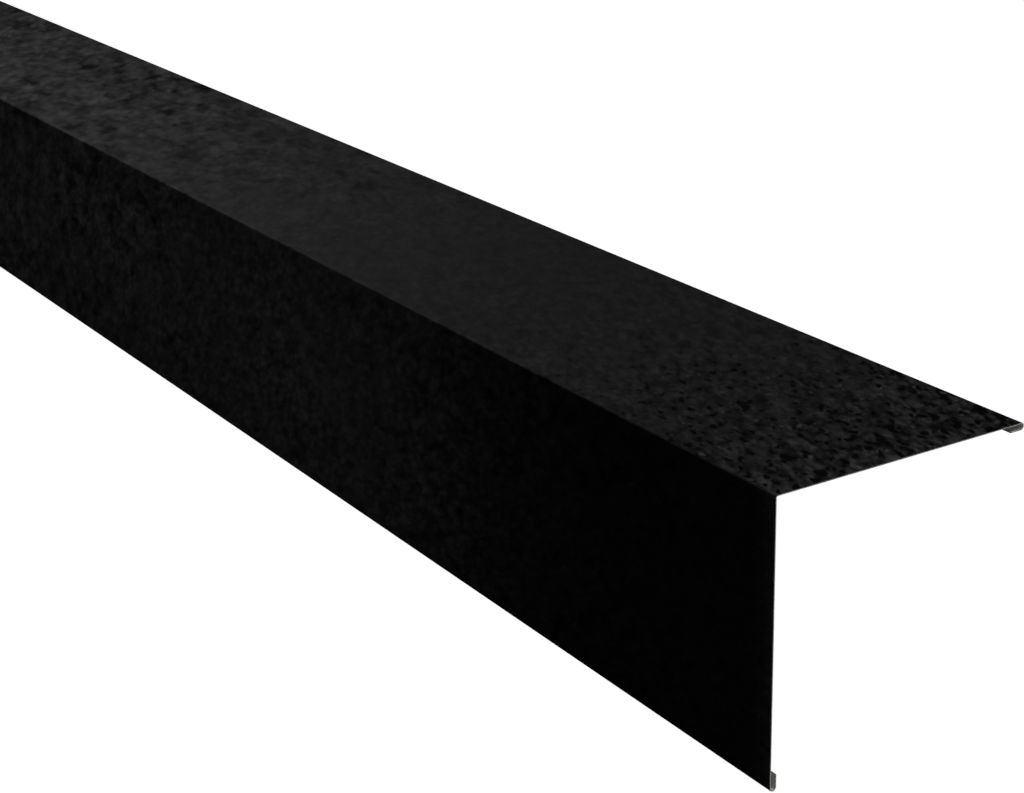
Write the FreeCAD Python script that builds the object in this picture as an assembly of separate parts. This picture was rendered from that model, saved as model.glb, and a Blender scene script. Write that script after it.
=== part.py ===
import FreeCAD, Part
import math
import os

# External corner trim for roof and wall cladding: one coated steel sheet, folded once along
# its middle to a right angle, with an open hem folded back along each long edge.
#
# Frame: +X runs along the length and +Z goes up through the corner fold, with one flange
# sloping down to each side. The trim lies on the curls of its two hems, and the origin is on
# that level, under the middle of the corner fold.

# Driving dimensions, in millimetres and degrees
TRIM_LENGTH = 2000.0  # one cut end to the other
FLANGE_WIDTH = 115.0  # sharp outer corner to the outermost line of the hem's curl
SHEET_THICKNESS = 0.5
CORNER_TURN = 90.0  # how far the corner fold turns the sheet
CORNER_INSIDE_RADIUS = 0.5
HEM_WIDTH = 6.5  # outermost line of the curl to the cut edge of the return leg
HEM_INSIDE_RADIUS = 1.0  # half the gap that the open hem leaves

# A hem is folded right back, so its return leg lies parallel to the flange
HEM_TURN = 180.0

# Lengths of the flat stretches, between the lines where the folds begin
HEM_SETBACK = HEM_INSIDE_RADIUS + SHEET_THICKNESS
CORNER_SETBACK = (CORNER_INSIDE_RADIUS + SHEET_THICKNESS) * math.tan(math.radians(CORNER_TURN / 2.0))
RETURN_LEG_FLAT = HEM_WIDTH - HEM_SETBACK
FLANGE_FLAT = FLANGE_WIDTH - CORNER_SETBACK - HEM_SETBACK


def heading_vector(heading):
    """Unit vector across the trim for a heading in degrees, from +Y towards +Z."""
    angle = math.radians(heading)
    return FreeCAD.Vector(0.0, math.cos(angle), math.sin(angle))


class FoldedStrip:
    """The sheet's section, followed along its coated face from one cut edge to the other.

    The coated face is on the left of the way taken and the back of the sheet on the right,
    and every fold turns the way to the right, so that the coat stays on the outside.
    """

    def __init__(self, thickness, heading):
        self.thickness = thickness
        self.heading = heading
        self.coat_point = FreeCAD.Vector()
        self.start_cut = (self.coat_point, self.back_point())
        self.coat_edges = []
        self.back_edges = []
        self.fold_centres = []

    def inward(self):
        """Direction through the sheet, from the coated face to the back."""
        return heading_vector(self.heading - 90.0)

    def back_point(self):
        """Point on the back of the sheet, straight behind the current point of the coat."""
        return self.coat_point + self.inward() * self.thickness

    def add_flat(self, length):
        """Carry the sheet straight on."""
        run = heading_vector(self.heading) * length
        back_start = self.back_point()
        self.coat_edges.append(Part.LineSegment(self.coat_point, self.coat_point + run).toShape())
        self.back_edges.append(Part.LineSegment(back_start, back_start + run).toShape())
        self.coat_point = self.coat_point + run

    def add_fold(self, turn, inside_radius):
        """Bend the sheet round a centre on its back, to the given inside radius."""
        outside_radius = inside_radius + self.thickness
        centre = self.coat_point + self.inward() * outside_radius
        rays = [heading_vector(self.heading + 90.0 - turn * share) for share in (0.0, 0.5, 1.0)]
        coat_points = [centre + ray * outside_radius for ray in rays]
        back_points = [centre + ray * inside_radius for ray in rays]
        self.coat_edges.append(Part.Arc(*coat_points).toShape())
        self.back_edges.append(Part.Arc(*back_points).toShape())
        self.fold_centres.append(centre)
        self.heading -= turn
        self.coat_point = coat_points[-1]

    def face(self):
        """Close both faces of the sheet with its two cut edges."""
        start_edge = Part.LineSegment(*self.start_cut).toShape()
        end_edge = Part.LineSegment(self.coat_point, self.back_point()).toShape()
        outline = self.coat_edges + [end_edge] + self.back_edges[::-1] + [start_edge]
        return Part.Face(Part.Wire(outline))


def trim_section():
    """Section of the folded sheet, from the -Y hem over the corner to the +Y hem."""
    strip = FoldedStrip(SHEET_THICKNESS, CORNER_TURN / 2.0 + HEM_TURN)
    strip.add_flat(RETURN_LEG_FLAT)
    strip.add_fold(HEM_TURN, HEM_INSIDE_RADIUS)
    strip.add_flat(FLANGE_FLAT)
    strip.add_fold(CORNER_TURN, CORNER_INSIDE_RADIUS)
    strip.add_flat(FLANGE_FLAT)
    strip.add_fold(HEM_TURN, HEM_INSIDE_RADIUS)
    strip.add_flat(RETURN_LEG_FLAT)

    hem_centre, corner_centre, _ = strip.fold_centres
    lowest_level = hem_centre.z - HEM_SETBACK
    section = strip.face()
    section.translate(FreeCAD.Vector(-TRIM_LENGTH / 2.0, -corner_centre.y, -lowest_level))
    return section


def corner_trim():
    """The section carried along the whole length as one solid."""
    return trim_section().extrude(FreeCAD.Vector(TRIM_LENGTH, 0.0, 0.0))


os.makedirs("parts", exist_ok=True)
corner_trim().exportStep("parts/corner_trim.step")
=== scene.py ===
import math

import bpy
from bpy.props import FloatProperty, FloatVectorProperty, IntProperty, PointerProperty
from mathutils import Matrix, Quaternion, Vector


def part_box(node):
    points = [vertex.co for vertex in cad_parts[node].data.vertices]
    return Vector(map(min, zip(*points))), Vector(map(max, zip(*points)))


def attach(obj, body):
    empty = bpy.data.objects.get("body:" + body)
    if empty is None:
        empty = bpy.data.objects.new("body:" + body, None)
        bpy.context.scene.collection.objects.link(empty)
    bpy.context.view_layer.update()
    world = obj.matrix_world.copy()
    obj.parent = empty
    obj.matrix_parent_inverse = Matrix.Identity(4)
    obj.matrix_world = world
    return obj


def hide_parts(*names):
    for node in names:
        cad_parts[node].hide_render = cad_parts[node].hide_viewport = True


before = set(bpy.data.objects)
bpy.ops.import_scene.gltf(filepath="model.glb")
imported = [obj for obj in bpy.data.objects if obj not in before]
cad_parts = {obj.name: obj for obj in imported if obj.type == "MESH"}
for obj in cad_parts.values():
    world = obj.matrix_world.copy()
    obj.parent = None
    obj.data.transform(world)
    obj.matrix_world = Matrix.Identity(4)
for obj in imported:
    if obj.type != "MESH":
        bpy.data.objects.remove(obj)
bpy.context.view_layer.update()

bl_info = {
    "name": "External corner trim",
    "version": (1, 0, 0),
    "blender": (4, 5, 0),
    "location": "3D View > Sidebar > Corner trim",
    "description": "Folds the coated sheet of an external corner trim and sets the stage that shows it",
    "category": "Object",
}

# The solid that the folded sheet stands for, in metres: it lies along X with its fold upwards
TRIM_NODE = "corner_trim"
TRIM_LOW, TRIM_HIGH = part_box(TRIM_NODE)
TRIM_LENGTH = TRIM_HIGH.x - TRIM_LOW.x
HALF_SPREAD = TRIM_HIGH.y

SHEET_NAME = "folded_sheet"

# The finishes of the sheet, in the order of its material slots
COAT, BACK, CUT = range(3)

# How far the folds turn the sheet
HEM_TURN = math.pi
CORNER_TURN = math.pi / 2.0

# From a fold or a cut edge to the next row of the mesh, in metres: it keeps the flats looking flat
END_STEP = 0.0002
# Faces that meet at a larger angle than this are shaded with an edge between them
SHARP_ANGLE = math.radians(45.0)

# Stretches over which the grain of the black coat changes, in metres from the near end
BOLD_AT_END = (0.30, 0.0)
BOLD_AT_CUT = (0.07, 0.0)
SMOOTH_AT_END = (0.03, 0.15)
SETTLING = (0.20, 0.30)
MARKS_FADING = (0.04, 0.20)
INBOARD = (0.32, 0.70)

# Boldness of the grain on the +Y flange: everywhere, and what each stretch adds
RIGHT_BOLDNESS = 0.122
RIGHT_END_ADDS = 0.50
RIGHT_CUT_ADDS = 0.34
RIGHT_INBOARD_ADDS = 0.21

# Boldness of the grain on the -Y flange: in its smooth end and past it, and what each stretch adds
LEFT_BOLDNESS = (0.16, 0.35)
LEFT_SETTLING_ADDS = -0.05
LEFT_INBOARD_ADDS = 0.12

# The boldness drifts between these shares, over patches this far apart in metres
DRIFT = (0.8, 1.2)
DRIFT_SPACING = 0.09
# Where the fine and the coarse grain are mixed, they even each other out, and this makes up for it
MIXING_GAIN = 1.2

# How far the coarse grain, and the broad patches, take over inboard on the -Y and the +Y flange
COARSENESS = (0.55, 1.0)
PATCH_BREADTH = (0.19, 0.31)
# How far to each side of the corner's middle one flange's grain passes into the other's, in metres
CORNER_REACH = 0.0003

# Spacing of the grain's features, as multiples of the grain size
FINE_GRANULES = 1.1
FINE_CLOUDS = 1.7
FINE_VEINS = 2.2
COARSE_GRANULES = 1.8
COARSE_CLOUDS = 2.6
SPECKS = 0.5
PITS = 1.05
FLECKS = 1.2
MOTTLE = 3.4
PATCHES = 3.8
# How the shapes of the grain wander: waves in one grain size, and how far, in grain sizes
WANDER_WAVES = 0.7
WANDER = 1.3

# How much each feature counts in the height of the grain
GRANULE_WEIGHT = 0.6
FINE_CLOUD_WEIGHT = 0.75
VEIN_WEIGHT = 0.3
COARSE_CLOUD_WEIGHT = 0.9
# Pits pull the height down into the painted pit shade, flecks lift it into the painted crest highlight
PIT_WEIGHT = -1.5
FLECK_WEIGHT = 1.4
SPECK_WEIGHT = 0.3
MOTTLE_WEIGHT = 0.32
PATCH_MOTTLE_WEIGHT = 0.4

# How clear the marks are at the near end and beyond it, and the height that evens out their mean
CLEARNESS = (1.0, 0.15)
MARKS_LEVEL = 0.02
# Radius of the marks, as shares of their spacing
PIT_RADIUS = 0.5
FLECK_RADIUS = 0.3

# Heights of the black coat's grain, from 0 to 1, where each colour stands: painted pit shade, own
# black, painted crest highlight
MEAN_HEIGHT = 0.48
PIT_HEIGHT = 0.22
COAT_HEIGHT = 0.5
CREST_HEIGHT = 1.0
# How much rougher the black coat is in its pits than on its crests, and how much it mirrors
PIT_ROUGHENING = 0.25
COAT_SPECULAR = 0.04

# The back coat: its roll marks and its mottle, in metres, and what they do to its colour and gloss
ROLL_MARK_SPACING = 0.0012
ROLL_MARK_STRETCH = (0.04, 1.0, 1.0)
ROLL_MARK_SHARE = 0.45
ROLL_MARK_STRENGTH = 0.4
ROLL_MARK_DEPTH = 0.00004
BACK_MOTTLE_SPACING = 0.02
BACK_MOTTLE_SHARE = 0.55
BACK_DARKEST = 0.82
BACK_PALEST = 1.12
BACK_ROUGHNESS = (0.42, 0.58)
BACK_SPECULAR = 0.35

# The cut edge: its shear marks, in metres, and where the coats end, as shares of the sheet's depth
SHEAR_MARK_SPACING = 0.0007
SHEAR_MARK_STRENGTH = 0.5
SHEAR_MARK_DEPTH = 0.00005
COAT_LINE = (0.14, 0.08)
BACK_LINE = (0.95, 0.98)
STEEL_DULLEST = 0.72
STEEL_ROUGHNESS = (0.38, 0.6)
STEEL_METALLIC = 0.3

# Parts of a noise's values that are stretched over the whole of what they set
WIDE_BAND = (0.3, 0.7)
NARROW_BAND = (0.35, 0.65)
CLOUD_BAND = (0.25, 0.75)
SPOT_BAND = (0.15, 0.75)
# The noises themselves: their middle value, how rough they are and how far the grain's are twisted
NOISE_MIDDLE = 0.5
NOISE_ROUGHNESS = 0.5
NOISE_TWIST = 0.6

# Highest and lowest that a feature of the grain gets, about the middle height
TOP = 0.5
BOTTOM = -0.5
# A granule's dome, from its middle to where it meets the next one, as shares of their spacing
DOME = (0.15, 0.85)
# How far a vein reaches to each side, in values of its noise, and the height beside it
VEIN_REACH = 0.05
BESIDE_VEIN = -0.12

WHITE = (1.0, 1.0, 1.0)
WORLD_STRENGTH = 0.018

# The floor: its faces round the middle and up the bend, and the bend's share of its half width
FLOOR_SIDES = 64
FLOOR_BEND_STEPS = 12
FLOOR_BEND_SHARE = 0.25
FLOOR_ROUGHNESS = 0.9

# The camera: its sensor in millimetres, and the nearest and farthest that it sees in metres
SENSOR_WIDTH = 36.0
CLIP_START = 0.01
CLIP_END = 500.0

# Where each lamp hangs and what it points at, in metres, its power in watts, the length and width
# of its face, and how far its light spreads where that is less than a half turn
LAMPS = {
    "side_softbox": {
        "place": (1.4, 2.2, 1.5), "target": (0.9, 0.04, 0.04), "power": 32.3, "size": (1.6, 1.0),
    },
    "ridge_strip": {
        "place": (-0.22, 0.25, 0.336), "target": (-0.22, 0.0, 0.083), "power": 3.2,
        "size": (1.56, 0.12),
    },
    "front_strip": {
        "place": (-0.105, -0.394, 0.396), "target": (-0.105, -0.04, 0.042), "power": 0.215,
        "size": (1.76, 0.12), "spread": math.radians(34.0),
    },
    "end_softbox": {
        "place": (2.6, 0.0, 0.05), "target": (1.0, 0.0, 0.03), "power": 36.0, "size": (0.42, 0.26),
    },
    "far_softbox": {
        "place": (-0.75, -1.2, 0.95), "target": (-0.75, -0.04, 0.042), "power": 3.0,
        "size": (0.7, 0.4), "spread": math.radians(40.0),
    },
}


class TrimSheetSettings(bpy.types.PropertyGroup):
    """Sizes of the folded sheet, and how finely it is drawn."""

    thickness: FloatProperty(
        name="Sheet thickness", description="Steel and its coats together",
        default=0.0005, min=0.0002, max=0.002, precision=5, subtype="DISTANCE", unit="LENGTH",
    )
    corner_radius: FloatProperty(
        name="Corner fold", description="Inside radius of the fold between the two flanges",
        default=0.0005, min=0.0001, max=0.01, precision=5, subtype="DISTANCE", unit="LENGTH",
    )
    hem_width: FloatProperty(
        name="Hem width",
        description="From the outermost line of the curl to the edge of the return leg",
        default=0.0065, min=0.003, max=0.03, precision=5, subtype="DISTANCE", unit="LENGTH",
    )
    hem_radius: FloatProperty(
        name="Hem curl", description="Inside radius of the curl, which is half the open gap",
        default=0.001, min=0.0002, max=0.005, precision=5, subtype="DISTANCE", unit="LENGTH",
    )
    edge_rollover: FloatProperty(
        name="Edge rollover", description="How far the shears draw the coated face down at a cut edge",
        default=0.00006, min=0.0, max=0.0002, precision=6, subtype="DISTANCE", unit="LENGTH",
    )
    spacing: FloatProperty(
        name="Mesh spacing", description="Distance between the rows of the mesh on the flat stretches",
        default=0.012, min=0.002, max=0.1, subtype="DISTANCE", unit="LENGTH",
    )
    curl_segments: IntProperty(
        name="Curl segments", description="Faces round each hem's curl", default=24, min=4, max=64,
    )
    corner_segments: IntProperty(
        name="Corner segments", description="Faces round the corner fold", default=10, min=2, max=32,
    )


class TrimFinishSettings(bpy.types.PropertyGroup):
    """Colours and grain of the coats and of the bare edges, with the painted shade in the pits and the
    painted highlight on the crests of the black coat's grain.
    """

    # Painted shade: the colour that darkens the pits of the black coat's grain
    pit_painted_shade: FloatVectorProperty(
        name="Pits", description="Colour down in the grain of the black coat",
        default=(0.0005, 0.0005, 0.0005), min=0.0, max=1.0, size=3, subtype="COLOR",
    )
    coat_colour: FloatVectorProperty(
        name="Coat", description="Middle colour of the black coat",
        default=(0.0149, 0.0149, 0.0149), min=0.0, max=1.0, size=3, subtype="COLOR",
    )
    # Painted highlight: the colour that lightens the crests and raised flecks of the black coat's grain
    crest_painted_highlight: FloatVectorProperty(
        name="Crests", description="Colour on the crests of the black coat's grain",
        default=(0.0478, 0.0478, 0.0475), min=0.0, max=1.0, size=3, subtype="COLOR",
    )
    grain_size: FloatProperty(
        name="Grain size", description="Distance from one granule of the grain to the next",
        default=0.0032, min=0.001, max=0.05, precision=5, subtype="DISTANCE", unit="LENGTH",
    )
    grain_stretch: FloatProperty(
        name="Grain stretch",
        description="How many times longer than wide the granules are along their slant",
        default=2.4, min=1.0, max=6.0,
    )
    grain_slant: FloatProperty(
        name="Grain slant", description="Rise of the granules' long way above the length of the trim",
        default=math.radians(32.0), subtype="ANGLE", unit="ROTATION",
    )
    grain_depth: FloatProperty(
        name="Grain depth", description="Height from the pits to the crests of the grain",
        default=0.00027, min=0.0, max=0.002, precision=5, subtype="DISTANCE", unit="LENGTH",
    )
    coat_roughness: FloatProperty(
        name="Coat roughness", description="How matt the black coat is on its crests",
        default=0.55, min=0.0, max=1.0, subtype="FACTOR",
    )
    back_colour: FloatVectorProperty(
        name="Back coat", description="Colour of the thin grey coat on the back of the sheet",
        default=(0.68, 0.68, 0.64), min=0.0, max=1.0, size=3, subtype="COLOR",
    )
    steel_colour: FloatVectorProperty(
        name="Cut steel", description="Colour of the bare steel and zinc at the cut edges",
        default=(0.21, 0.21, 0.2), min=0.0, max=1.0, size=3, subtype="COLOR",
    )


class TrimStageSettings(bpy.types.PropertyGroup):
    """Floor and camera."""

    floor_colour: FloatVectorProperty(
        name="Floor", description="Colour of the plain floor",
        default=(0.9, 0.9, 0.9), min=0.0, max=1.0, size=3, subtype="COLOR",
    )
    floor_glow: FloatProperty(
        name="Floor glow",
        description="Even light that the floor gives off, so that it shows as plain white",
        default=1.0, min=0.0, max=4.0,
    )
    floor_size: FloatProperty(
        name="Floor size", description="Width of the floor between its swept-up walls",
        default=60.0, min=8.0, max=400.0, subtype="DISTANCE", unit="LENGTH",
    )
    focal_length: FloatProperty(
        name="Focal length", description="Lens of the camera, for a sensor 36 mm wide",
        default=77.75, min=10.0, max=300.0, unit="CAMERA",
    )
    camera_place: FloatVectorProperty(
        name="Camera", description="Where the camera stands",
        default=(1.53225, -0.09845, 0.60294), size=3, subtype="TRANSLATION", unit="LENGTH",
    )
    camera_target: FloatVectorProperty(
        name="Target", description="The point in the middle of the picture",
        default=(0.84872, -0.01271, 0.08282), size=3, subtype="TRANSLATION", unit="LENGTH",
    )
    camera_roll: FloatProperty(
        name="Roll", description="Turn of the camera about its view, clockwise",
        default=math.radians(50.073), subtype="ANGLE", unit="ROTATION",
    )


class SheetSection:
    """Section of the folded sheet, followed along its coated face from hem to hem.

    The coated face is on the left of the way taken, and every fold turns the way to the right.
    Each station holds a point of the coat and the point of the back straight behind it, as
    (y, z) pairs in metres.
    """

    def __init__(self, thickness, heading):
        self.thickness = thickness
        self.heading = heading
        self.coat_point = Vector((0.0, 0.0))
        self.stations = []
        self.fold_centres = []
        self.mark()

    def ray(self, turn):
        """Unit vector at an angle to the way taken."""
        return Vector((math.cos(self.heading + turn), math.sin(self.heading + turn)))

    def inward(self):
        """Direction through the sheet, from the coated face to the back."""
        return self.ray(-math.pi / 2.0)

    def mark(self):
        """Keep the current point of the coat, and the point behind it, as a station."""
        back_point = self.coat_point + self.inward() * self.thickness
        self.stations.append((self.coat_point.copy(), back_point))

    def step(self, distance):
        """Go straight on to the next station."""
        self.coat_point = self.coat_point + self.ray(0.0) * distance
        self.mark()

    def flat(self, length, spacing):
        """Carry the sheet straight on, with a row close to each end to hold the shading flat."""
        middle = length - 2.0 * END_STEP
        count = max(1, round(middle / spacing))
        self.step(END_STEP)
        for _ in range(count):
            self.step(middle / count)
        self.step(END_STEP)

    def fold(self, turn, inside_radius, segments):
        """Bend the sheet to the right round a centre on its back."""
        outside_radius = inside_radius + self.thickness
        centre = self.coat_point + self.inward() * outside_radius
        self.fold_centres.append(centre)
        for _ in range(segments):
            self.heading -= turn / segments
            self.coat_point = centre - self.inward() * outside_radius
            self.mark()


def trim_section(sheet):
    """Stations of the whole section, in place over the origin."""
    hem_setback = sheet.hem_radius + sheet.thickness
    corner_setback = sheet.corner_radius + sheet.thickness
    flange_width = (HALF_SPREAD - hem_setback) * math.sqrt(2.0) + 2.0 * hem_setback
    flange_flat = flange_width - corner_setback - hem_setback
    return_leg = sheet.hem_width - hem_setback

    section = SheetSection(sheet.thickness, CORNER_TURN / 2.0 + HEM_TURN)
    section.flat(return_leg, sheet.spacing)
    section.fold(HEM_TURN, sheet.hem_radius, sheet.curl_segments)
    section.flat(flange_flat, sheet.spacing)
    section.fold(CORNER_TURN, sheet.corner_radius, sheet.corner_segments)
    section.flat(flange_flat, sheet.spacing)
    section.fold(HEM_TURN, sheet.hem_radius, sheet.curl_segments)
    section.flat(return_leg, sheet.spacing)

    hem_centre, corner_centre, _ = section.fold_centres
    offset = Vector((-corner_centre.x, TRIM_LOW.z + hem_setback - hem_centre.y))
    return [(coat + offset, back + offset) for coat, back in section.stations]


def rows_along(sheet):
    """Places of the mesh's rows along the trim, with one close to each cut end."""
    inner_length = TRIM_LENGTH - 2.0 * END_STEP
    count = max(1, round(inner_length / sheet.spacing))
    inner = [TRIM_LOW.x + END_STEP + inner_length * step / count for step in range(count + 1)]
    return [TRIM_LOW.x] + inner + [TRIM_HIGH.x]


def sheet_mesh(name, sheet):
    """Closed mesh of the folded sheet, with its coated face, its back and its cut edges."""
    stations = trim_section(sheet)
    rows = rows_along(sheet)
    last_row, last_station = len(rows) - 1, len(stations) - 1

    verts, depth = [], []
    for row, x in enumerate(rows):
        for place, (coat, back) in enumerate(stations):
            at_cut = row in (0, last_row) or place in (0, last_station)
            drawn_down = sheet.edge_rollover if at_cut else 0.0
            coat = coat + (back - coat).normalized() * drawn_down
            verts += [(x, coat.x, coat.y), (x, back.x, back.y)]
            depth += [0.0, 1.0]

    def vertex(row, place, on_back):
        return (row * len(stations) + place) * 2 + on_back

    faces, finishes = [], []

    def add_face(corners, finish, turned):
        faces.append(corners[::-1] if turned else corners)
        finishes.append(finish)

    for row in range(last_row):
        for place in range(last_station):
            ring = ((row, place), (row + 1, place), (row + 1, place + 1), (row, place + 1))
            add_face([vertex(*spot, 0) for spot in ring], COAT, False)
            add_face([vertex(*spot, 1) for spot in ring], BACK, True)
        for place, turned in ((0, True), (last_station, False)):
            ring = ((row, place, 0), (row + 1, place, 0), (row + 1, place, 1), (row, place, 1))
            add_face([vertex(*spot) for spot in ring], CUT, turned)
    for row, turned in ((0, False), (last_row, True)):
        for place in range(last_station):
            ring = ((row, place, 0), (row, place + 1, 0), (row, place + 1, 1), (row, place, 1))
            add_face([vertex(*spot) for spot in ring], CUT, turned)

    mesh = bpy.data.meshes.new(name)
    mesh.from_pydata(verts, [], faces)
    mesh.polygons.foreach_set("material_index", finishes)
    mesh.polygons.foreach_set("use_smooth", [True] * len(faces))
    mesh.set_sharp_from_angle(angle=SHARP_ANGLE)
    mesh.attributes.new("sheet_depth", "FLOAT", "POINT").data.foreach_set("value", depth)
    mesh.validate()
    mesh.update()
    return mesh


def opaque(colour):
    """Colour with the fourth channel that a node's colour has."""
    return (*colour, 1.0)


def scaled(colour, share):
    """Colour made darker or paler by a share."""
    return [channel * share for channel in colour]


def add_node(tree, kind, inputs=None, **settings):
    """Add a shader node, and set or link its inputs by name or place."""
    node = tree.nodes.new(kind)
    for name, value in settings.items():
        setattr(node, name, value)
    for name, value in (inputs or {}).items():
        if isinstance(value, bpy.types.NodeSocket):
            tree.links.new(value, node.inputs[name])
        else:
            node.inputs[name].default_value = value
    return node


def new_material(name):
    """New material, and its node tree with nothing in it."""
    material = bpy.data.materials.new(name)
    material.use_nodes = True
    material.node_tree.nodes.clear()
    return material, material.node_tree


def finish_material(tree, inputs):
    """Close the tree with a shader that takes these inputs, and its output."""
    shader = add_node(tree, "ShaderNodeBsdfPrincipled", inputs)
    output = add_node(tree, "ShaderNodeOutputMaterial")
    tree.links.new(shader.outputs["BSDF"], output.inputs["Surface"])


def object_place(tree):
    """Place on the trim in its own coordinates, in metres."""
    return add_node(tree, "ShaderNodeTexCoord").outputs["Object"]


def maths(tree, operation, first, second):
    """Value of a sum or another operation on two values."""
    node = add_node(tree, "ShaderNodeMath", {0: first, 1: second}, operation=operation)
    return node.outputs["Value"]


def total(tree, first, *rest):
    """Sum of a value and of others with their weights, each given as (value, weight)."""
    for value, weight in rest:
        inputs = {0: value, 1: weight, 2: first}
        first = add_node(tree, "ShaderNodeMath", inputs, operation="MULTIPLY_ADD").outputs["Value"]
    return first


def between(tree, value, low, high, out_low=0.0, out_high=1.0, smooth=True):
    """Value carried from low..high to out_low..out_high, and held at the ends."""
    node = add_node(
        tree, "ShaderNodeMapRange",
        {"Value": value, "From Min": low, "From Max": high, "To Min": out_low, "To Max": out_high},
        interpolation_type="SMOOTHSTEP" if smooth else "LINEAR",
    )
    return node.outputs["Result"]


def mixed_colour(tree, share, first, second):
    """Colour from first to second by share."""
    share_input, first_input, second_input, result = 0, 6, 7, 2
    inputs = {share_input: share, first_input: first, second_input: second}
    return add_node(tree, "ShaderNodeMix", inputs, data_type="RGBA").outputs[result]


def bumped(tree, height, strength, depth):
    """Way that the surface faces over a relief of this depth in metres."""
    inputs = {"Height": height, "Strength": strength, "Distance": depth}
    return add_node(tree, "ShaderNodeBump", inputs).outputs["Normal"]


def shifted(tree, place, seed):
    """Place moved by the seed, so that no two textures run alike."""
    inputs = {0: place, 1: (seed, seed, seed)}
    return add_node(tree, "ShaderNodeVectorMath", inputs, operation="ADD").outputs["Vector"]


def noise(tree, place, spacing, detail, seed, twist=0.0):
    """Value of a noise whose features are about this far apart."""
    node = add_node(
        tree, "ShaderNodeTexNoise",
        {
            "Vector": shifted(tree, place, seed), "Scale": 1.0 / spacing, "Detail": detail,
            "Roughness": NOISE_ROUGHNESS, "Distortion": twist,
        },
    )
    return node.outputs["Fac"]


def cells(tree, place, spacing, seed):
    """Texture of uneven cells whose middles are about this far apart."""
    inputs = {"Vector": shifted(tree, place, seed), "Scale": 1.0 / spacing}
    return add_node(tree, "ShaderNodeTexVoronoi", inputs, feature="F1")


def spots(tree, place, spacing, radius, seed):
    """Scattered spots of uneven strength, whose radius is given as a share of their spacing."""
    node = cells(tree, place, spacing, seed)
    chance = add_node(tree, "ShaderNodeSeparateColor", {"Color": node.outputs["Color"]}).outputs["Red"]
    return maths(
        tree, "MULTIPLY", between(tree, node.outputs["Distance"], radius, 0.0),
        between(tree, chance, *SPOT_BAND, smooth=False),
    )


def clouds(tree, place, spacing, detail, seed):
    """Soft rises and hollows about the middle height."""
    value = noise(tree, place, spacing, detail, seed, NOISE_TWIST)
    return between(tree, value, *CLOUD_BAND, BOTTOM, TOP, smooth=False)


def granules_of(tree, place, spacing, seed):
    """Domes packed side by side, high in their middle and low where they meet."""
    distance = cells(tree, place, spacing, seed).outputs["Distance"]
    return between(tree, distance, *DOME, TOP, BOTTOM, smooth=False)


def veins(tree, place, spacing, seed):
    """Thin winding ridges, which follow the middle value of a noise."""
    course = noise(tree, place, spacing, 1.0, seed, NOISE_TWIST)
    off_course = maths(tree, "ABSOLUTE", maths(tree, "SUBTRACT", course, NOISE_MIDDLE), 0.0)
    return between(tree, off_course, 0.0, VEIN_REACH, TOP, BESIDE_VEIN)


def grain_boldness(tree, from_near_end, inboard, coarseness, on_right, place):
    """How bold the grain is, along each of the two flanges.

    On the +Y flange it is most at the near end, least about 0.3 m from it, and even from 0.7 m on.
    On the -Y flange it is least at the near end, and changes little from 0.15 m on.
    """
    towards_end = between(tree, from_near_end, *BOLD_AT_END, smooth=False)
    at_end = maths(tree, "MULTIPLY", towards_end, towards_end)
    at_cut = between(tree, from_near_end, *BOLD_AT_CUT)
    right = total(
        tree, RIGHT_BOLDNESS,
        (at_end, RIGHT_END_ADDS), (at_cut, RIGHT_CUT_ADDS), (inboard, RIGHT_INBOARD_ADDS),
    )
    left = total(
        tree, between(tree, from_near_end, *SMOOTH_AT_END, *LEFT_BOLDNESS),
        (between(tree, from_near_end, *SETTLING), LEFT_SETTLING_ADDS), (inboard, LEFT_INBOARD_ADDS),
    )
    drifting = noise(tree, place, DRIFT_SPACING, detail=1.0, seed=3.7)
    drift = between(tree, drifting, *WIDE_BAND, *DRIFT)
    fineness = maths(tree, "SUBTRACT", 1.0, coarseness)
    mixing = total(tree, 1.0, (maths(tree, "MULTIPLY", coarseness, fineness), MIXING_GAIN))
    either = total(tree, left, (on_right, maths(tree, "SUBTRACT", right, left)))
    return maths(tree, "MULTIPLY", maths(tree, "MULTIPLY", either, drift), mixing)


def grain_places(tree, straight, finish):
    """Places for the grain: drawn out along its slant, and the same with some wander."""
    drawn = add_node(
        tree, "ShaderNodeMapping",
        {
            "Vector": straight, "Rotation": (0.0, -finish.grain_slant, 0.0),
            "Scale": (finish.grain_stretch, 1.0, 1.0),
        },
        vector_type="TEXTURE",
    ).outputs["Vector"]
    wander = add_node(
        tree, "ShaderNodeTexNoise",
        {"Vector": drawn, "Scale": WANDER_WAVES / finish.grain_size, "Detail": 1.0},
    ).outputs["Color"]
    centred = add_node(
        tree, "ShaderNodeVectorMath", {0: wander, 1: (NOISE_MIDDLE,) * 3}, operation="SUBTRACT",
    ).outputs["Vector"]
    wandering = add_node(
        tree, "ShaderNodeVectorMath", {0: centred, 1: (WANDER * finish.grain_size,) * 3, 2: drawn},
        operation="MULTIPLY_ADD",
    ).outputs["Vector"]
    return drawn, wandering


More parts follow.
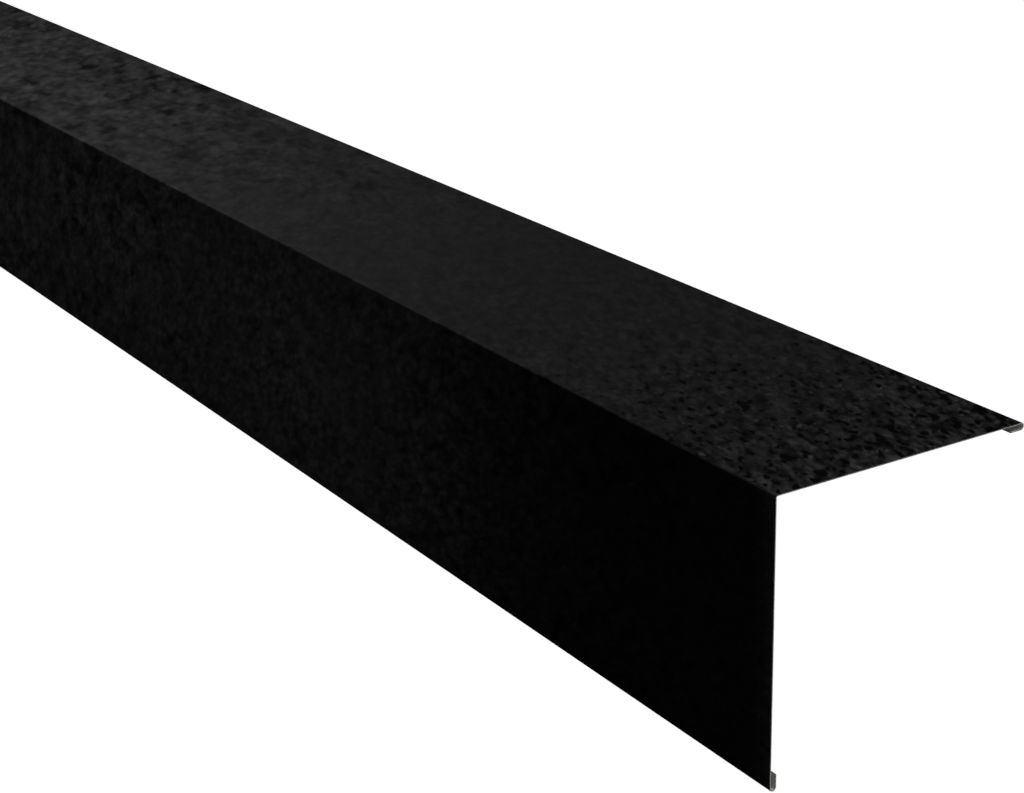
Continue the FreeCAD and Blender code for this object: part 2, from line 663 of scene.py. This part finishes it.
def grain_height(tree, finish):
    """Height of the black coat's grain, from 0 in its pits to 1 on its crests."""
    straight = object_place(tree)
    size = finish.grain_size
    spot = add_node(tree, "ShaderNodeSeparateXYZ", {"Vector": straight})
    from_near_end = maths(tree, "SUBTRACT", TRIM_HIGH.x, spot.outputs["X"])
    inboard = between(tree, from_near_end, *INBOARD, smooth=False)
    on_right = between(tree, spot.outputs["Y"], -CORNER_REACH, CORNER_REACH)
    coarsest = between(tree, on_right, 0.0, 1.0, *COARSENESS, smooth=False)
    coarseness = maths(tree, "MULTIPLY", inboard, coarsest)
    boldness = grain_boldness(tree, from_near_end, inboard, coarseness, on_right, straight)

    drawn, place = grain_places(tree, straight, finish)
    fine = total(
        tree, 0.0,
        (granules_of(tree, place, size * FINE_GRANULES, seed=0.4), GRANULE_WEIGHT),
        (clouds(tree, place, size * FINE_CLOUDS, detail=1.5, seed=8.1), FINE_CLOUD_WEIGHT),
        (veins(tree, place, size * FINE_VEINS, seed=1.3), VEIN_WEIGHT),
    )
    coarse = total(
        tree, 0.0,
        (granules_of(tree, place, size * COARSE_GRANULES, seed=0.9), GRANULE_WEIGHT),
        (clouds(tree, place, size * COARSE_CLOUDS, detail=1.5, seed=4.6), COARSE_CLOUD_WEIGHT),
    )
    specks = clouds(tree, drawn, size * SPECKS, detail=1.0, seed=5.2)
    mottle = clouds(tree, place, size * MOTTLE, detail=2.0, seed=2.9)
    patches = clouds(tree, place, size * PATCHES, detail=1.0, seed=7.2)
    pits = spots(tree, place, size * PITS, PIT_RADIUS, seed=6.3)
    flecks = spots(tree, place, size * FLECKS, FLECK_RADIUS, seed=9.8)

    # Pits, flecks and specks stand out most at the near end, and broad patches further in; through the
    # colour ramp the pits get painted shade and the flecks a painted highlight
    clearness = between(tree, from_near_end, *MARKS_FADING, *CLEARNESS)
    all_marks = total(
        tree, MARKS_LEVEL, (pits, PIT_WEIGHT), (flecks, FLECK_WEIGHT), (specks, SPECK_WEIGHT),
    )
    marks = maths(tree, "MULTIPLY", all_marks, clearness)
    coarser = maths(tree, "MULTIPLY", maths(tree, "SUBTRACT", coarse, fine), coarseness)
    relief = total(tree, marks, (fine, 1.0), (coarser, 1.0), (mottle, MOTTLE_WEIGHT))
    broadest = between(tree, on_right, 0.0, 1.0, *PATCH_BREADTH, smooth=False)
    breadth = maths(tree, "MULTIPLY", inboard, broadest)
    unevenness = total(tree, patches, (mottle, PATCH_MOTTLE_WEIGHT))
    return total(tree, MEAN_HEIGHT, (relief, boldness), (unevenness, breadth))


def black_coat(finish):
    """Thick matt black coat with a pebbled grain, scattered pits and a few raised flecks; its colour is
    painted darker in the pits as shade and paler on the crests and flecks as highlights.
    """
    material, tree = new_material("black_grained_coat")
    height = grain_height(tree, finish)
    # Colour by height: painted shade in the pits, the coat's black between, painted highlight on the
    # crests and flecks
    colour = add_node(tree, "ShaderNodeValToRGB", {"Fac": height})
    stops = colour.color_ramp.elements
    stops[0].position = PIT_HEIGHT
    stops[0].color = opaque(finish.pit_painted_shade)
    stops[1].position = CREST_HEIGHT
    stops[1].color = opaque(finish.crest_painted_highlight)
    stops.new(COAT_HEIGHT).color = opaque(finish.coat_colour)
    dullest = finish.coat_roughness + PIT_ROUGHENING
    finish_material(tree, {
        "Base Color": colour.outputs["Color"],
        "Normal": bumped(tree, height, 1.0, finish.grain_depth),
        "Roughness": between(tree, height, 0.0, 1.0, dullest, finish.coat_roughness),
        "Specular IOR Level": COAT_SPECULAR,
    })
    return material


def back_coat(finish):
    """Thin grey lacquer on the back of the sheet, with faint roll marks along the strip."""
    material, tree = new_material("grey_back_coat")
    place = object_place(tree)
    stretched = add_node(
        tree, "ShaderNodeVectorMath", {0: place, 1: ROLL_MARK_STRETCH}, operation="MULTIPLY",
    ).outputs["Vector"]
    streaks = noise(tree, stretched, ROLL_MARK_SPACING, detail=2.0, seed=4.4)
    mottle = noise(tree, place, BACK_MOTTLE_SPACING, detail=3.0, seed=6.6)
    shade = maths(
        tree, "ADD", maths(tree, "MULTIPLY", streaks, ROLL_MARK_SHARE),
        maths(tree, "MULTIPLY", mottle, BACK_MOTTLE_SHARE),
    )
    dark = opaque(scaled(finish.back_colour, BACK_DARKEST))
    pale = opaque(scaled(finish.back_colour, BACK_PALEST))
    finish_material(tree, {
        "Base Color": mixed_colour(tree, between(tree, shade, *NARROW_BAND), dark, pale),
        "Normal": bumped(tree, streaks, ROLL_MARK_STRENGTH, ROLL_MARK_DEPTH),
        "Roughness": between(tree, mottle, *WIDE_BAND, *BACK_ROUGHNESS),
        "Specular IOR Level": BACK_SPECULAR,
    })
    return material


def cut_edge(finish):
    """Sheared steel with its zinc, between the line of the black coat and that of the back coat."""
    material, tree = new_material("sheared_steel_edge")
    place = object_place(tree)
    depth = add_node(tree, "ShaderNodeAttribute", attribute_name="sheet_depth").outputs["Fac"]
    grain = noise(tree, place, SHEAR_MARK_SPACING, detail=3.0, seed=7.7)
    dull = opaque(scaled(finish.steel_colour, STEEL_DULLEST))
    bright = opaque(finish.steel_colour)
    steel = mixed_colour(tree, between(tree, grain, *NARROW_BAND), dull, bright)
    coat_line = between(tree, depth, *COAT_LINE)
    back_line = between(tree, depth, *BACK_LINE)
    colour = mixed_colour(tree, coat_line, steel, opaque(finish.coat_colour))
    colour = mixed_colour(tree, back_line, colour, opaque(finish.back_colour))
    finish_material(tree, {
        "Base Color": colour,
        "Normal": bumped(tree, grain, SHEAR_MARK_STRENGTH, SHEAR_MARK_DEPTH),
        "Roughness": between(tree, grain, *WIDE_BAND, *STEEL_ROUGHNESS),
        "Metallic": between(tree, depth, *reversed(COAT_LINE), 0.0, STEEL_METALLIC),
    })
    return material


class CORNERTRIM_OT_fold_sheet(bpy.types.Operator):
    """Fold the coated sheet: two flanges, the corner between them and an open hem along each edge"""

    bl_idname = "corner_trim.fold_sheet"
    bl_label = "Fold the sheet"

    def execute(self, context):
        mesh = sheet_mesh(SHEET_NAME, context.scene.trim_sheet)
        finish = context.scene.trim_finish
        for make_material in (black_coat, back_coat, cut_edge):
            mesh.materials.append(make_material(finish))
        trim = bpy.data.objects.new(SHEET_NAME, mesh)
        context.scene.collection.objects.link(trim)
        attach(trim, "root")
        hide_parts(TRIM_NODE)
        return {"FINISHED"}


def floor_mesh(stage):
    """Round floor on the level that the hems lie on, swept up into a wall far around the trim."""
    reach = stage.floor_size / 2.0
    bend = reach * FLOOR_BEND_SHARE
    profile = []
    for step in range(FLOOR_BEND_STEPS + 1):
        turn = math.pi / 2.0 * step / FLOOR_BEND_STEPS
        profile.append((reach - bend + bend * math.sin(turn), bend - bend * math.cos(turn)))
    profile.append((reach, reach))

    verts, faces = [(0.0, 0.0, 0.0)], []
    for radius, height in profile:
        for side in range(FLOOR_SIDES):
            bearing = 2.0 * math.pi * side / FLOOR_SIDES
            verts.append((radius * math.cos(bearing), radius * math.sin(bearing), height))
    for side in range(FLOOR_SIDES):
        following = (side + 1) % FLOOR_SIDES
        faces.append((0, 1 + side, 1 + following))
        for ring in range(len(profile) - 1):
            low = 1 + ring * FLOOR_SIDES
            high = low + FLOOR_SIDES
            faces.append((low + side, high + side, high + following, low + following))
    mesh = bpy.data.meshes.new("floor")
    mesh.from_pydata(verts, [], faces)
    return mesh


def add_floor(stage):
    """Plain pale floor that glows evenly and isn't mirrored in the trim."""
    mesh = floor_mesh(stage)
    material, tree = new_material("plain_floor")
    finish_material(tree, {
        "Base Color": opaque(stage.floor_colour),
        "Roughness": FLOOR_ROUGHNESS,
        "Specular IOR Level": 0.0,
        "Emission Color": opaque(WHITE),
        "Emission Strength": stage.floor_glow,
    })
    mesh.materials.append(material)
    floor = bpy.data.objects.new("floor", mesh)
    bpy.context.scene.collection.objects.link(floor)
    floor.visible_diffuse = False
    floor.visible_glossy = False


def aimed(place, target):
    """Rotation of a lamp or camera at place that looks at target."""
    return (Vector(target) - Vector(place)).to_track_quat("-Z", "Y")


def add_lamp(name, subject, place, target, power, size, spread=math.pi):
    """Lamp with a rectangular face, which lights only the subject and isn't seen itself."""
    light = bpy.data.lights.new(name, "AREA")
    light.energy = power
    light.shape = "RECTANGLE"
    light.size, light.size_y = size
    light.spread = spread
    lamp = bpy.data.objects.new(name, light)
    lamp.location = place
    lamp.rotation_mode = "QUATERNION"
    lamp.rotation_quaternion = aimed(place, target)
    bpy.context.scene.collection.objects.link(lamp)
    lamp.visible_camera = False
    receivers = bpy.data.collections.new(f"{name}_receivers")
    receivers.objects.link(subject)
    lamp.light_linking.receiver_collection = receivers


def add_camera(stage):
    """Camera at the photograph's viewing angle."""
    lens = bpy.data.cameras.new("camera")
    lens.lens = stage.focal_length
    lens.sensor_width = SENSOR_WIDTH
    lens.clip_start = CLIP_START
    lens.clip_end = CLIP_END
    camera = bpy.data.objects.new("camera", lens)
    camera.location = stage.camera_place
    camera.rotation_mode = "QUATERNION"
    roll = Quaternion((0.0, 0.0, 1.0), -stage.camera_roll)
    camera.rotation_quaternion = aimed(stage.camera_place, stage.camera_target) @ roll
    bpy.context.scene.collection.objects.link(camera)
    bpy.context.scene.camera = camera


def set_world(scene):
    """Dim even surroundings, which fill the shadows a little."""
    world = bpy.data.worlds.new("studio")
    world.use_nodes = True
    background = world.node_tree.nodes["Background"]
    background.inputs["Color"].default_value = opaque(WHITE)
    background.inputs["Strength"].default_value = WORLD_STRENGTH
    scene.world = world


class CORNERTRIM_OT_set_stage(bpy.types.Operator):
    """Lay the floor and set the soft lights and the camera"""

    bl_idname = "corner_trim.set_stage"
    bl_label = "Set the stage"

    def execute(self, context):
        scene = context.scene
        trim = bpy.data.objects[SHEET_NAME]
        add_floor(scene.trim_stage)
        set_world(scene)
        for name, lamp in LAMPS.items():
            add_lamp(name, trim, **lamp)
        add_camera(scene.trim_stage)
        scene.view_settings.view_transform = "Standard"
        return {"FINISHED"}


class CORNERTRIM_PT_build(bpy.types.Panel):
    """Panel of the operators and their settings."""

    bl_idname = "CORNERTRIM_PT_build"
    bl_label = "Corner trim"
    bl_space_type = "VIEW_3D"
    bl_region_type = "UI"
    bl_category = "Corner trim"

    def draw(self, context):
        layout = self.layout
        for settings, operator in (
            (context.scene.trim_sheet, CORNERTRIM_OT_fold_sheet.bl_idname),
            (context.scene.trim_finish, None),
            (context.scene.trim_stage, CORNERTRIM_OT_set_stage.bl_idname),
        ):
            for name in settings.__annotations__:
                layout.prop(settings, name)
            if operator:
                layout.operator(operator)


CLASSES = (
    TrimSheetSettings, TrimFinishSettings, TrimStageSettings,
    CORNERTRIM_OT_fold_sheet, CORNERTRIM_OT_set_stage, CORNERTRIM_PT_build,
)
SETTINGS = {
    "trim_sheet": TrimSheetSettings,
    "trim_finish": TrimFinishSettings,
    "trim_stage": TrimStageSettings,
}


def register():
    for each in CLASSES:
        bpy.utils.register_class(each)
    for name, group in SETTINGS.items():
        setattr(bpy.types.Scene, name, PointerProperty(type=group))


def unregister():
    for name in SETTINGS:
        delattr(bpy.types.Scene, name)
    for each in reversed(CLASSES):
        bpy.utils.unregister_class(each)


def main():
    register()
    bpy.ops.corner_trim.fold_sheet()
    bpy.ops.corner_trim.set_stage()


if __name__ == "__main__":
    main()
